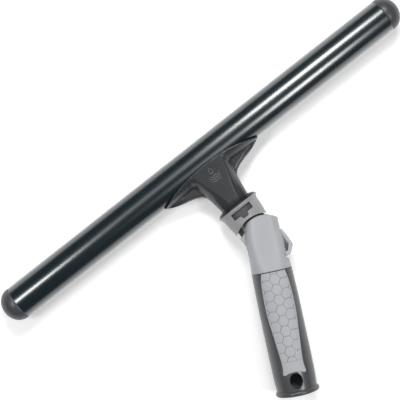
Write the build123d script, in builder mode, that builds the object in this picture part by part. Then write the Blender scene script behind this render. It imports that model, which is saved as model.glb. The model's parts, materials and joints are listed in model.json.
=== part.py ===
"""Washer T-bar with a swivel handle: the window cleaning tool that carries a strip washer sleeve.

A closed tube with domed caps is held by a saddle bracket. A black plug in the bracket's neck clips
into a round collar with a sprung latch. The collar's tongue turns on a pin between two fork shells
at the top of the grip, where a thumb lever holds it with a brake shoe. The grip ends in a socket
for an extension pole.

Millimetres. The origin is the middle of the pole socket's mouth, +X runs along the tube and +Z is
the front. The grip stands at REST_ANGLE to the square position.
"""

import os
from math import cos, radians, sin

from build123d import *

# The whole tool
OVERALL_LENGTH = 450
REST_ANGLE = 26
GRIP_REACH = 140.3
TUBE_REACH = 95

# Tube and caps
TUBE_RADIUS = 15.8
TUBE_BORE = 14.2
CAP_DOME = 13.5
CAP_BAND = 2.0
CAP_SPIGOT = 14

# Saddle bracket: distance from the swivel, half width and half thickness of the neck's sections
NECK_SECTIONS = [(44.5, 14.3, 10.7), (52, 15.4, 11.6), (62, 17.0, 13.0), (76, 19.0, 14.8), (90, 20.0, 16.0)]
BRACKET_EDGE = [(14.3, 44.5), (15.9, 56.9), (19.0, 65.5), (30, 70.8), (45, 75), (53.1, 78.8)]
SADDLE_SKIN = 1.7
WEB_HALF = 4.5
SADDLE_TOP = 89.1
SADDLE_ARC = 142.7
FACET_LOW = (44, 9.9)
FACET_HIGH = (95, 15.4)
BRACKET_REACH = 60

# Backing plate inside the tube, behind the saddle
PLATE_HALF_LENGTH = 34
PLATE_THICKNESS = 2.5

# Clip plug and collar
PLUG_RADIUS = 13.2
PLUG_END = 28.9
PLUG_CHAMFER = 0.8
FLANGE_RADIUS = 19.4
FLANGE_LIFT = 0.1
FLANGE_THICKNESS = 1.0
SPIGOT_WIDTH = 18
SPIGOT_DEPTH = 14
SPIGOT_TOP = 64
SPIGOT_GAP = 0.2
COLLAR_TOP = 41.5
COLLAR_SIDE = [(17.35, 21), (18.2, 28.6), (18.7, 34), (18.9, 37.5), (20.8, 40.4)]
SOCKET_RADIUS = 13.5
SOCKET_FLOOR = 28.6
COLLAR_SWEEP = 26.3

# Latch: each of its three blocks as its width, its height and the distance of its middle from the swivel
LATCH_BAR = (19.8, 5.3, 35.2)
LATCH_STEM = (6.6, 4.6, 31.6)
LATCH_PLATE = (20.6, 8.8, 34.4)
PLATE_RISE = 2.0
LATCH_TRAVEL = 3.6
LATCH_TOP = 16.9
LATCH_SEAT = -3.0
LATCH_BASE = 6.5
LATCH_GAP = 0.3
LATCH_SEAT_RADIUS = 3.4
LATCH_COIL = 2.7
LATCH_WIRE = 0.4
LATCH_PITCH = 1.85

# Swivel
PIN_RADIUS = 4.0
PIN_HALF = 12.5
RUNNING_GAP = 0.05
BUSH_RADIUS = 6.0
WASHER_RADIUS = 9.0
TONGUE_RADIUS = 16.5
TONGUE_HALF = 6.7
TONGUE_SHOULDERS = [(16.5, 0), (16.5, 15.5), (9.5, 18.5), (9.5, 27)]
SEAL_CORNERS = [(9.65, 18.6), (14.5, 16.5), (14.5, 21.6), (9.65, 24.2)]
SEAL_HALF = 6.4
CHEEK_HOLLOW = 15.0
CHEEK_DEPTH = 13.4
FORK_GAP = 7.5
FORK_ARC = 24.6
FORK_POCKET = 17.2
SLOT_FLOOR = -9.0
FORK_BOTTOM = -26.7

# Thumb lever and its brake
LEVER_PIVOT = (13.2, -14.6)
LEVER_HALF = 10.2
LEVER_WINDOW = 10.4
LEVER_ARM = 7.8
LEVER_PIN_RADIUS = 1.5
HUB_RADIUS = 2.4
POCKET_FLOOR = -19.1
SHOE_INNER = 16.75
SHOE_OUTER = 18.6
SHOE_HALF = 6.0
TAIL_OUTER = 19.9
LEVER_PIN_HALF = 13.0
LEVER_SPRING_Y = -10.6
LEVER_SPRING_X = 15.95
LEVER_SPRING_LENGTH = 3.7
LEVER_SEAT_X = 20.2
LEVER_SEAT_RADIUS = 2.1
LEVER_COIL = 1.4
LEVER_WIRE = 0.3
LEVER_PITCH = 1.1

# Grip
GRIP_PROFILE = [(18.5, -27.0), (19.1, -52), (19.2, -84), (19.15, -116), (19.5, -130), (20.1, -136.5)]
RIM_RADIUS = 20.1
NECK_RADIUS = 14.0
NECK_TOP = -20.3
PANEL_DEPTH = 2.0
PANEL_RISE = 0.25
PANEL_EDGE = [(10.9, -27.3), (12.7, -40), (13.35, -56), (12.8, -72), (10.9, -93), (9.6, -112), (10.4, -118)]
SLEEVE_OUTER = 13.4
SLEEVE_BORE = 11.75
SLEEVE_DEPTH = 68.3
SLEEVE_FLOOR = 2.0
CORE_RADIUS = 12.0
CORE_TOP = -30
LOCK_HOLE_Y = -126.5
LOCK_HOLE_HALF_WIDTH = 5.8
LOCK_HOLE_HALF_LENGTH = 7.1

# Screws with round heads and cross recesses
SADDLE_SHANK = 1.6
SADDLE_HEAD = 3.1
SMALL_SHANK = 1.5
SMALL_HEAD = 2.8
HEAD_RISE = 1.8
SHANK_GAP = 0.2
HEAD_GAP = 0.3
CROSS_LENGTH = 3.2
CROSS_WIDTH = 0.7
CROSS_DEPTH = 0.8

# A cut that runs right through whatever is in its way
THROUGH = 30

SWING = radians(REST_ANGLE)
GRIP_AXIS = Vector(sin(SWING), cos(SWING), 0)
GRIP_SIDE = Vector(cos(SWING), -sin(SWING), 0)
SWIVEL = GRIP_AXIS * GRIP_REACH
TUBE_MIDDLE = SWIVEL + Vector(0, TUBE_REACH, 0)

# Front views, seen from +Z: the head's with its y towards the tube, the grip's with its y up the grip
head_front = Plane(origin=SWIVEL, x_dir=(1, 0, 0), z_dir=(0, 0, 1))
grip_front = Plane(origin=SWIVEL, x_dir=GRIP_SIDE, z_dir=(0, 0, 1))
head_line = Axis(SWIVEL, (0, 1, 0))
grip_line = Axis(SWIVEL, GRIP_AXIS)
tube_line = Axis(TUBE_MIDDLE, (1, 0, 0))


def across_head(y):
    """The plane square to the head at a distance y from the swivel, with its own y upwards."""
    return Plane(origin=SWIVEL + Vector(0, y, 0), x_dir=(1, 0, 0), z_dir=(0, -1, 0))


def across_grip(y):
    """The plane square to the grip at a distance y from the swivel, with its own y upwards."""
    return Plane(origin=SWIVEL + GRIP_AXIS * y, x_dir=GRIP_SIDE, z_dir=-GRIP_AXIS)


def across_tube(x):
    """The plane square to the tube at a distance x from its middle, with its own y upwards."""
    return Plane(origin=TUBE_MIDDLE + Vector(x, 0, 0), x_dir=(0, 1, 0), z_dir=(1, 0, 0))


# Each screw's seat is a plane under its head with its z out of the head. Two screws hold the saddle to the
# tube from below and behind, two hold the plug in the neck and two hold the shells together.
SADDLE_SCREW_X = 22
SADDLE_SCREW_TILT = radians(38)
saddle_middles = [
    Plane(
        origin=TUBE_MIDDLE + Vector(side * SADDLE_SCREW_X, 0, 0),
        x_dir=(1, 0, 0),
        z_dir=(0, -cos(SADDLE_SCREW_TILT), -sin(SADDLE_SCREW_TILT)),
    )
    for side in (-1, 1)
]
saddle_seats = [middle.offset(TUBE_RADIUS + SADDLE_SKIN) for middle in saddle_middles]
neck_seats = [Plane(origin=SWIVEL + Vector(0, y, -9.6), x_dir=(1, 0, 0), z_dir=(0, 0, -1)) for y in (51, 59)]
shell_seats = [
    Plane(origin=grip_front.from_local_coords((x, -23.5, -12.6)), x_dir=GRIP_SIDE, z_dir=(0, 0, -1))
    for x in (-9.5, 9.5)
]


def round_screws(seats, shank, head, length):
    """Screws with their heads on these seats."""
    with BuildPart() as screws:
        with BuildSketch(*seats):
            Circle(shank)
        extrude(amount=-length)
        with BuildSketch(*seats):
            Circle(head)
        extrude(amount=HEAD_RISE)
        with BuildSketch(*[seat.offset(HEAD_RISE - CROSS_DEPTH) for seat in seats]):
            Rectangle(CROSS_LENGTH, CROSS_WIDTH)
            Rectangle(CROSS_WIDTH, CROSS_LENGTH)
        extrude(amount=CROSS_DEPTH + 0.2, mode=Mode.SUBTRACT)
    return screws.part


def coil_spring(pitch, height, radius, wire):
    """A coil that stands on the origin along +Z."""
    with BuildPart() as spring:
        with BuildLine():
            coil = Helix(pitch=pitch, height=height, radius=radius)
        with BuildSketch(Plane(origin=coil @ 0, z_dir=coil % 0)):
            Circle(wire)
        sweep(is_frenet=True)
    return spring.part


# ---------------------------------------------------------------- tube and caps

TUBE_LENGTH = OVERALL_LENGTH - 2 * (CAP_DOME + CAP_BAND)

with BuildPart() as tube:
    with BuildSketch(across_tube(-TUBE_LENGTH / 2)):
        Circle(TUBE_RADIUS)
        Circle(TUBE_BORE, mode=Mode.SUBTRACT)
    extrude(amount=TUBE_LENGTH)
    with BuildSketch(*saddle_middles):
        Circle(SADDLE_SHANK + SHANK_GAP)
    extrude(amount=THROUGH, mode=Mode.SUBTRACT)

SEAM = TUBE_LENGTH / 2
CAP_TIP = OVERALL_LENGTH / 2
CAP_WALL = 2.0
CAP_TIP_WALL = 2.4

# each cap is a hollow domed plug: the dome carries on the tube's outside, the spigot fills its bore
with BuildPart() as end_cap_right:
    with BuildSketch(Plane(origin=TUBE_MIDDLE, x_dir=(1, 0, 0), z_dir=(0, 0, 1))):
        with BuildLine():
            Line((CAP_TIP - CAP_TIP_WALL, 0), (CAP_TIP, 0))
            EllipticalCenterArc((SEAM + CAP_BAND, 0), CAP_DOME, TUBE_RADIUS, 0, arc_size=90)
            Polyline(
                (SEAM + CAP_BAND, TUBE_RADIUS),
                (SEAM, TUBE_RADIUS),
                (SEAM, TUBE_BORE),
                (SEAM - CAP_SPIGOT, TUBE_BORE),
                (SEAM - CAP_SPIGOT, TUBE_BORE - CAP_WALL),
                (SEAM + CAP_BAND, TUBE_BORE - CAP_WALL),
                (CAP_TIP - 5, 8),
                (CAP_TIP - CAP_TIP_WALL, 0),
            )
        make_face()
    revolve(axis=tube_line)

with BuildPart() as end_cap_left:
    mirror(end_cap_right.part, about=across_tube(0))

# ---------------------------------------------------------------- saddle bracket

with BuildPart() as tube_bracket:
    # the neck
    for y, half_width, half_thickness in NECK_SECTIONS:
        with BuildSketch(across_head(y)):
            Ellipse(half_width, half_thickness)
    loft()
    # the skin that lies round the tube and the web that stiffens it
    with BuildSketch(across_tube(-BRACKET_REACH)):
        Circle(TUBE_RADIUS + SADDLE_SKIN)
        Rectangle(28, 2 * WEB_HALF, align=(Align.MAX, Align.CENTER))
    extrude(amount=2 * BRACKET_REACH)
    # all within the front outline: a long arc over the wings that sweep down into the neck
    with BuildSketch(head_front.offset(-THROUGH)):
        with BuildLine():
            Line((0, BRACKET_EDGE[0][1]), BRACKET_EDGE[0])
            Spline(*BRACKET_EDGE)
            RadiusArc(BRACKET_EDGE[-1], (0, SADDLE_TOP), -SADDLE_ARC)
            Line((0, SADDLE_TOP), (0, BRACKET_EDGE[0][1]))
        make_face()
        mirror(about=Plane.YZ)
    extrude(amount=2 * THROUGH, mode=Mode.INTERSECT)
    with BuildSketch(Plane(origin=SWIVEL - Vector(BRACKET_REACH, 0, 0), x_dir=(0, 1, 0), z_dir=(1, 0, 0))):
        Polygon(FACET_LOW, FACET_HIGH, (FACET_HIGH[0], THROUGH), (FACET_LOW[0], THROUGH), align=None)
    extrude(amount=2 * BRACKET_REACH, mode=Mode.SUBTRACT)
    with BuildSketch(across_tube(-BRACKET_REACH)):
        Circle(TUBE_RADIUS)
    extrude(amount=2 * BRACKET_REACH, mode=Mode.SUBTRACT)
    with BuildSketch(across_head(SPIGOT_TOP + 0.5)):
        RectangleRounded(SPIGOT_WIDTH + 2 * SPIGOT_GAP, SPIGOT_DEPTH + 2 * SPIGOT_GAP, 2)
    extrude(amount=SPIGOT_TOP, mode=Mode.SUBTRACT)
    with BuildSketch(*saddle_middles):
        Circle(SADDLE_SHANK + SHANK_GAP)
    extrude(amount=THROUGH, mode=Mode.SUBTRACT)
    with BuildSketch(*saddle_seats):
        Circle(SADDLE_HEAD + HEAD_GAP)
    extrude(amount=THROUGH, mode=Mode.SUBTRACT)
    with BuildSketch(*[seat.offset(-9) for seat in neck_seats]):
        Circle(SMALL_SHANK + SHANK_GAP)
    extrude(amount=THROUGH, mode=Mode.SUBTRACT)
    with BuildSketch(*neck_seats):
        Circle(SMALL_HEAD + HEAD_GAP)
    extrude(amount=THROUGH, mode=Mode.SUBTRACT)

with BuildPart() as backing_plate:
    with BuildSketch(across_tube(-PLATE_HALF_LENGTH)):
        Circle(TUBE_BORE)
        Circle(TUBE_BORE - PLATE_THICKNESS, mode=Mode.SUBTRACT)
        Polygon((0, 0), (-30, 14), (-30, -40), align=None, mode=Mode.INTERSECT)
    extrude(amount=2 * PLATE_HALF_LENGTH)
    with BuildSketch(*saddle_middles):
        Circle(SADDLE_SHANK)
    extrude(amount=THROUGH, mode=Mode.SUBTRACT)

bracket_screws = round_screws(saddle_seats, SADDLE_SHANK, SADDLE_HEAD, 7)

# ---------------------------------------------------------------- clip plug, latch and collar


def latch_shape(gap):
    """The letter-T outline of the latch in the current front-view sketch, grown by a gap all round."""
    for width, height, y in (LATCH_BAR, LATCH_STEM):
        with Locations((0, y)):
            Rectangle(width + 2 * gap, height + 2 * gap)


POCKET_LOW = LATCH_BASE - LATCH_TRAVEL - LATCH_GAP

with BuildPart() as clip_plug:
    with BuildSketch(head_front):
        Polygon(
            (0, PLUG_END),
            (PLUG_RADIUS - PLUG_CHAMFER, PLUG_END),
            (PLUG_RADIUS, PLUG_END + PLUG_CHAMFER),
            (PLUG_RADIUS, COLLAR_TOP + FLANGE_LIFT),
            (FLANGE_RADIUS, COLLAR_TOP + FLANGE_LIFT),
            (FLANGE_RADIUS, COLLAR_TOP + FLANGE_LIFT + FLANGE_THICKNESS),
            (14.6, NECK_SECTIONS[0][0]),
            (0, NECK_SECTIONS[0][0]),
            align=None,
        )
    revolve(axis=head_line)
    with BuildSketch(across_head(SPIGOT_TOP)):
        RectangleRounded(SPIGOT_WIDTH, SPIGOT_DEPTH, 1.8)
    extrude(amount=20, mode=Mode.ADD)
    # the pocket that the latch's plate slides in, and a notch for its stem, open at the plug's end
    with BuildSketch(head_front.offset(POCKET_LOW)):
        with Locations((0, LATCH_PLATE[2])):
            Rectangle(LATCH_PLATE[0] + 2 * LATCH_GAP, LATCH_PLATE[1] + 2 * LATCH_GAP)
    extrude(amount=LATCH_TRAVEL + PLATE_RISE + 2 * LATCH_GAP, mode=Mode.SUBTRACT)
    with BuildSketch(head_front.offset(POCKET_LOW)):
        with Locations((0, PLUG_END)):
            Rectangle(LATCH_STEM[0] + 2 * LATCH_GAP, 10)
    extrude(amount=THROUGH, mode=Mode.SUBTRACT)
    with BuildSketch(head_front.offset(LATCH_BASE)):
        latch_shape(LATCH_GAP)
    extrude(amount=THROUGH, mode=Mode.SUBTRACT)
    with BuildSketch(head_front.offset(LATCH_SEAT)):
        with Locations((0, LATCH_PLATE[2])):
            Circle(LATCH_SEAT_RADIUS)
    extrude(amount=10, mode=Mode.SUBTRACT)
    with BuildSketch(*[seat.offset(-14) for seat in neck_seats]):
        Circle(SMALL_SHANK)
    extrude(amount=20, mode=Mode.SUBTRACT)

neck_screws = round_screws(neck_seats, SMALL_SHANK, SMALL_HEAD, 12)

with BuildPart() as head_latch:
    with BuildSketch(head_front.offset(LATCH_BASE)):
        with Locations((0, LATCH_PLATE[2])):
            Rectangle(LATCH_PLATE[0], LATCH_PLATE[1])
    extrude(amount=PLATE_RISE)
    with BuildSketch(head_front.offset(LATCH_BASE)):
        latch_shape(0)
    extrude(amount=THROUGH)
    with BuildSketch(across_head(COLLAR_TOP)):
        Circle(LATCH_TOP)
    extrude(amount=20, mode=Mode.INTERSECT)

latch_coil_height = LATCH_BASE - LATCH_SEAT - 2 * LATCH_WIRE - 0.1
latch_spring = coil_spring(LATCH_PITCH, latch_coil_height, LATCH_COIL, LATCH_WIRE).moved(
    Location(SWIVEL + Vector(0, LATCH_PLATE[2], LATCH_SEAT + LATCH_WIRE + 0.05))
)

with BuildPart() as swivel_collar:
    with BuildSketch(head_front):
        with BuildLine():
            Polyline((0, 18), (17.3, 18), COLLAR_SIDE[0])
            Spline(*COLLAR_SIDE)
            Polyline(COLLAR_SIDE[-1], (COLLAR_SIDE[-1][0], COLLAR_TOP), (0, COLLAR_TOP), (0, 18))
        make_face()
    revolve(axis=head_line)
    with BuildSketch(head_front.offset(-THROUGH)):
        Circle(COLLAR_SWEEP)
    extrude(amount=2 * THROUGH, mode=Mode.SUBTRACT)
    # the tongue: a round end, shoulders and a narrower neck under the collar
    with BuildSketch(head_front.offset(-TONGUE_HALF)):
        Circle(TONGUE_RADIUS)
        Polygon(*TONGUE_SHOULDERS, *[(-x, y) for x, y in reversed(TONGUE_SHOULDERS)], align=None)
    extrude(amount=2 * TONGUE_HALF)
    with BuildSketch(across_head(COLLAR_TOP)):
        Circle(SOCKET_RADIUS)
    extrude(amount=COLLAR_TOP - SOCKET_FLOOR, mode=Mode.SUBTRACT)
    with BuildSketch(head_front):
        latch_shape(LATCH_GAP)
    extrude(amount=THROUGH, mode=Mode.SUBTRACT)
    with BuildSketch(head_front.offset(-TONGUE_HALF)):
        Circle(BUSH_RADIUS)
    extrude(amount=2 * TONGUE_HALF, mode=Mode.SUBTRACT)

# black blocks close the slot beside the tongue's neck
with BuildPart() as swivel_seals:
    with BuildSketch(head_front.offset(-SEAL_HALF)):
        Polygon(*SEAL_CORNERS, align=None)
        mirror(about=Plane.YZ)
    extrude(amount=2 * SEAL_HALF)

with BuildPart() as pivot_bush:
    with BuildSketch(head_front.offset(-TONGUE_HALF)):
        Circle(BUSH_RADIUS)
        Circle(PIN_RADIUS + RUNNING_GAP, mode=Mode.SUBTRACT)
    extrude(amount=2 * TONGUE_HALF)

# ---------------------------------------------------------------- fork shells

with BuildPart() as fork:
    with BuildSketch(across_grip(FORK_BOTTOM)):
        RectangleRounded(36.8, 34.6, 15)
    with BuildSketch(across_grip(-12)):
        RectangleRounded(36, 32.4, 9.4)
    with BuildSketch(across_grip(26)):
        RectangleRounded(36, 32.4, 9.0)
    loft(ruled=True)
    with BuildSketch(grip_front.offset(-20)):
        with BuildLine():
            Spline((-18.4, FORK_BOTTOM), (-17.7, -10), (-17.8, 4), (-17.0, 11), (-15.3, 19.3))
            ThreePointArc((-15.3, 19.3), (0, FORK_ARC), (15.6, 19.0))
            Spline((15.6, 19.0), (15.3, 13), (17.2, 4), (17.4, -10), (18.4, FORK_BOTTOM))
            Line((18.4, FORK_BOTTOM), (-18.4, FORK_BOTTOM))
        make_face()
    extrude(amount=40, mode=Mode.INTERSECT)
    # the slot for the tongue, open at the top and at both sides, with a round seat for its end
    with BuildSketch(grip_front.offset(-FORK_GAP)):
        Circle(FORK_POCKET)
        with Locations((0, SLOT_FLOOR)):
            Rectangle(60, 40, align=(Align.CENTER, Align.MIN))
    extrude(amount=2 * FORK_GAP, mode=Mode.SUBTRACT)
    # the window for the thumb lever, with a rib left in it for the lever's spring
    with BuildSketch(grip_front.offset(-LEVER_WINDOW)):
        Polygon((11.3, 10.5), (30, 10.5), (30, POCKET_FLOOR), (6.6, POCKET_FLOOR), (6.6, -17), align=None)
        Polygon((14.6, -9.1), (15.6, -9.1), (15.6, -11.4), (14.6, -11.4), align=None, mode=Mode.SUBTRACT)
    extrude(amount=2 * LEVER_WINDOW, mode=Mode.SUBTRACT)
    # a ring-shaped hollow in each cheek leaves a boss for the pin
    with BuildSketch(grip_front.offset(-CHEEK_DEPTH)):
        Circle(CHEEK_HOLLOW)
        Circle(WASHER_RADIUS + 0.5, mode=Mode.SUBTRACT)
        with Locations((20, 0)):
            Rectangle(19, 40, mode=Mode.SUBTRACT)
    extrude(amount=2 * CHEEK_DEPTH, mode=Mode.SUBTRACT)
    with BuildSketch(grip_front.offset(-PIN_HALF)):
        Circle(PIN_RADIUS)
    extrude(amount=2 * PIN_HALF, mode=Mode.SUBTRACT)
    with BuildSketch(grip_front.offset(-LEVER_PIN_HALF)):
        with Locations(LEVER_PIVOT):
            Circle(LEVER_PIN_RADIUS)
    extrude(amount=2 * LEVER_PIN_HALF, mode=Mode.SUBTRACT)
    with BuildSketch(across_grip(NECK_TOP)):
        Circle(NECK_RADIUS)
    extrude(amount=20, mode=Mode.SUBTRACT)

with BuildPart() as fork_shell_front:
    add(fork.part)
    split(bisect_by=Plane.XY, keep=Keep.TOP)
    with BuildSketch(*[seat.offset(-25.1) for seat in shell_seats]):
        Circle(SMALL_SHANK)
    extrude(amount=THROUGH, mode=Mode.SUBTRACT)

with BuildPart() as fork_shell_rear:
    add(fork.part)
    split(bisect_by=Plane.XY, keep=Keep.BOTTOM)
    with BuildSketch(*[seat.offset(-THROUGH) for seat in shell_seats]):
        Circle(SMALL_SHANK + SHANK_GAP)
    extrude(amount=2 * THROUGH, mode=Mode.SUBTRACT)
    with BuildSketch(*shell_seats):
        Circle(SMALL_HEAD + HEAD_GAP)
    extrude(amount=THROUGH, mode=Mode.SUBTRACT)

shell_screws = round_screws(shell_seats, SMALL_SHANK, SMALL_HEAD, 24.6)

with BuildPart() as pivot_pin:
    with BuildSketch(grip_front.offset(-PIN_HALF)):
        Circle(PIN_RADIUS)
    extrude(amount=2 * PIN_HALF)

with BuildPart() as pivot_washers:
    for height in (TONGUE_HALF + 0.1, -FORK_GAP):
        with BuildSketch(grip_front.offset(height)):
            Circle(WASHER_RADIUS)
            Circle(PIN_RADIUS, mode=Mode.SUBTRACT)
        extrude(amount=FORK_GAP - TONGUE_HALF - 0.1)

# ---------------------------------------------------------------- thumb lever and brake

LEVER_OUTER = [(14.3, 8.8), (16.1, 8.8), (17.5, 6.4), (19.6, 2.4), (21.5, -2.1), (23.4, -6.8)]
LEVER_FOOT = [(23.4, -6.8), (22.0, -10.2), (20.1, -13.7), (18.7, -15.6), (13.2, -17.0)]
ARM_FRONT = [(13.2, -12.2), (17.6, -11.8), (19.6, -5.3), (17.2, -0.3), (14.3, 5.5)]
ARM_REAR = [(13.2, -12.2), (16.6, -11.8), (16.6, -8.0), (16.0, -0.3), (14.3, 5.5)]

with BuildPart() as lock_lever:
    # two arms beside the tongue, the rear one broad enough to close the window behind the front one
    for height, inner_edge in ((LEVER_ARM, ARM_FRONT), (-LEVER_HALF, ARM_REAR)):
        with BuildSketch(grip_front.offset(height)):
            Polygon(*LEVER_OUTER, *LEVER_FOOT[1:], *inner_edge, align=None)
            with Locations(LEVER_PIVOT):
                Circle(HUB_RADIUS)
        extrude(amount=LEVER_HALF - LEVER_ARM)
    # the thumb pad joins them below the tongue's sweep, and a tail carries the brake shoe
    with BuildSketch(grip_front.offset(-LEVER_HALF)):
        Polygon((22.2, -3.7), *LEVER_FOOT, (13.2, -12.2), (17.6, -11.8), (19.3, -6.6), align=None)
        with Locations(LEVER_PIVOT):
            Circle(HUB_RADIUS)
    extrude(amount=2 * LEVER_HALF)
    with BuildSketch(grip_front.offset(-TONGUE_HALF)):
        Circle(TAIL_OUTER)
        Circle(SHOE_OUTER, mode=Mode.SUBTRACT)
        Polygon((0, 0), (10.2, -22.0), (16.6, -19.2), align=None, mode=Mode.INTERSECT)
    extrude(amount=2 * TONGUE_HALF)
    with BuildSketch(grip_front.offset(-LEVER_HALF)):
        with Locations(LEVER_PIVOT):
            Circle(LEVER_PIN_RADIUS + RUNNING_GAP)
    extrude(amount=2 * LEVER_HALF, mode=Mode.SUBTRACT)
    # a blind seat for the spring in the back of the pad
    seat_place = grip_front.from_local_coords((LEVER_SEAT_X, LEVER_SPRING_Y, 0))
    with BuildSketch(Plane(origin=seat_place, z_dir=-GRIP_SIDE)):
        Circle(LEVER_SEAT_RADIUS)
    extrude(amount=6, mode=Mode.SUBTRACT)

with BuildPart() as brake_shoe:
    with BuildSketch(grip_front.offset(-SHOE_HALF)):
        Circle(SHOE_OUTER)
        Circle(SHOE_INNER, mode=Mode.SUBTRACT)
        Polygon((0, 0), (10.2, -22.0), (13.0, -20.0), align=None, mode=Mode.INTERSECT)
    extrude(amount=2 * SHOE_HALF)

with BuildPart() as lever_pin:
    with BuildSketch(grip_front.offset(-LEVER_PIN_HALF)):
        with Locations(LEVER_PIVOT):
            Circle(LEVER_PIN_RADIUS)
    extrude(amount=2 * LEVER_PIN_HALF)

spring_place = grip_front.from_local_coords((LEVER_SPRING_X, LEVER_SPRING_Y, 0))
lever_spring = coil_spring(LEVER_PITCH, LEVER_SPRING_LENGTH, LEVER_COIL, LEVER_WIRE).moved(
    Plane(origin=spring_place, z_dir=GRIP_SIDE).location
)

# ---------------------------------------------------------------- grip


def panel_sheet(side, depth, rise):
    """The grip panel's place: a curved sheet of the grip's outside within the panel's front outline."""
    with BuildPart() as sheet:
        with BuildSketch(grip_front):
            with BuildLine():
                Spline(*[(radius + rise, y) for radius, y in GRIP_PROFILE[:5]])
                Polyline((GRIP_PROFILE[4][0] + rise, -130), (GRIP_PROFILE[4][0] - depth, -130))
                Spline(*[(radius - depth, y) for radius, y in reversed(GRIP_PROFILE[:5])])
                Polyline((GRIP_PROFILE[0][0] - depth, -27), (GRIP_PROFILE[0][0] + rise, -27))
            make_face()
        revolve(axis=grip_line)
        with BuildSketch(grip_front):
            with BuildLine():
                Line((0, -27.3), PANEL_EDGE[0])
                Spline(*PANEL_EDGE)
                Line(PANEL_EDGE[-1], (9.7, -120.4))
                ThreePointArc((9.7, -120.4), (5, -118.8), (0, -118.2))
                Line((0, -118.2), (0, -27.3))
            make_face()
            mirror(about=Plane.YZ)
        extrude(amount=side * THROUGH, mode=Mode.INTERSECT)
    return sheet.part


panel_front = panel_sheet(1, PANEL_DEPTH, PANEL_RISE)
panel_rear = panel_sheet(-1, PANEL_DEPTH, PANEL_RISE)

SLEEVE_END = -GRIP_REACH + SLEEVE_DEPTH + SLEEVE_FLOOR

with BuildPart() as handle_body:
    with BuildSketch(grip_front):
        with BuildLine():
            Polyline((0, NECK_TOP), (NECK_RADIUS, NECK_TOP), (NECK_RADIUS, -27), GRIP_PROFILE[0])
            Spline(*GRIP_PROFILE)
            Line(GRIP_PROFILE[-1], (RIM_RADIUS, -139))
            RadiusArc((RIM_RADIUS, -139), (RIM_RADIUS - 1.3, -GRIP_REACH), 1.3)
            Polyline(
                (RIM_RADIUS - 1.3, -GRIP_REACH),
                (SLEEVE_OUTER, -GRIP_REACH),
                (SLEEVE_OUTER, SLEEVE_END + 0.3),
                (CORE_RADIUS, SLEEVE_END + 0.3),
                (CORE_RADIUS, CORE_TOP - 4),
                (CORE_RADIUS - 4, CORE_TOP),
                (0, CORE_TOP),
                (0, NECK_TOP),
            )
        make_face()
    revolve(axis=grip_line)
    add(panel_front, mode=Mode.SUBTRACT)
    add(panel_rear, mode=Mode.SUBTRACT)
    with BuildSketch(grip_front):
        with Locations((0, LOCK_HOLE_Y)):
            Ellipse(LOCK_HOLE_HALF_WIDTH, LOCK_HOLE_HALF_LENGTH)
    extrude(amount=THROUGH, mode=Mode.SUBTRACT)
    with BuildSketch(*[seat.offset(-THROUGH) for seat in shell_seats]):
        Circle(SMALL_SHANK + SHANK_GAP)
    extrude(amount=2 * THROUGH, mode=Mode.SUBTRACT)

with BuildPart() as pole_socket_sleeve:
    with BuildSketch(across_grip(SLEEVE_END)):
        Circle(SLEEVE_OUTER)
    extrude(amount=SLEEVE_DEPTH + SLEEVE_FLOOR)
    with BuildSketch(across_grip(-GRIP_REACH + SLEEVE_DEPTH)):
        Circle(SLEEVE_BORE)
    extrude(amount=SLEEVE_DEPTH, mode=Mode.SUBTRACT)
    with BuildSketch(grip_front):
        with Locations((0, LOCK_HOLE_Y)):
            Ellipse(LOCK_HOLE_HALF_WIDTH, LOCK_HOLE_HALF_LENGTH)
    extrude(amount=THROUGH, mode=Mode.SUBTRACT)

pieces = {
    "tube": tube.part,
    "end_cap_left": end_cap_left.part,
    "end_cap_right": end_cap_right.part,
    "tube_bracket": tube_bracket.part,
    "backing_plate": backing_plate.part,
    "bracket_screws": bracket_screws,
    "clip_plug": clip_plug.part,
    "neck_screws": neck_screws,
    "head_latch": head_latch.part,
    "latch_spring": latch_spring,
    "swivel_collar": swivel_collar.part,
    "swivel_seals": swivel_seals.part,
    "pivot_bush": pivot_bush.part,
    "fork_shell_front": fork_shell_front.part,
    "fork_shell_rear": fork_shell_rear.part,
    "shell_screws": shell_screws,
    "pivot_pin": pivot_pin.part,
    "pivot_washers": pivot_washers.part,
    "lock_lever": lock_lever.part,
    "brake_shoe": brake_shoe.part,
    "lever_pin": lever_pin.part,
    "lever_spring": lever_spring,
    "handle_body": handle_body.part,
    "pole_socket_sleeve": pole_socket_sleeve.part,
    "grip_panel_front": panel_front,
    "grip_panel_rear": panel_rear,
}

os.makedirs("parts", exist_ok=True)
for name, piece in pieces.items():
    piece.label = name
    export_step(piece, f"parts/{name}.step")
    print(name, round(piece.volume, 1))
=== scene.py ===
# %% [markdown]
# # A washer T-bar with a swivel handle, in Blender
# The tool lies on a white table: a long lacquered tube with two domed caps, a saddle bracket, a round
# collar with a T-shaped latch, a forked swivel with a thumb lever, and a grip with soft panels.
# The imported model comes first. It says where every part is, so each new surface is worked out from it.

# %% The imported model
import json

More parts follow.
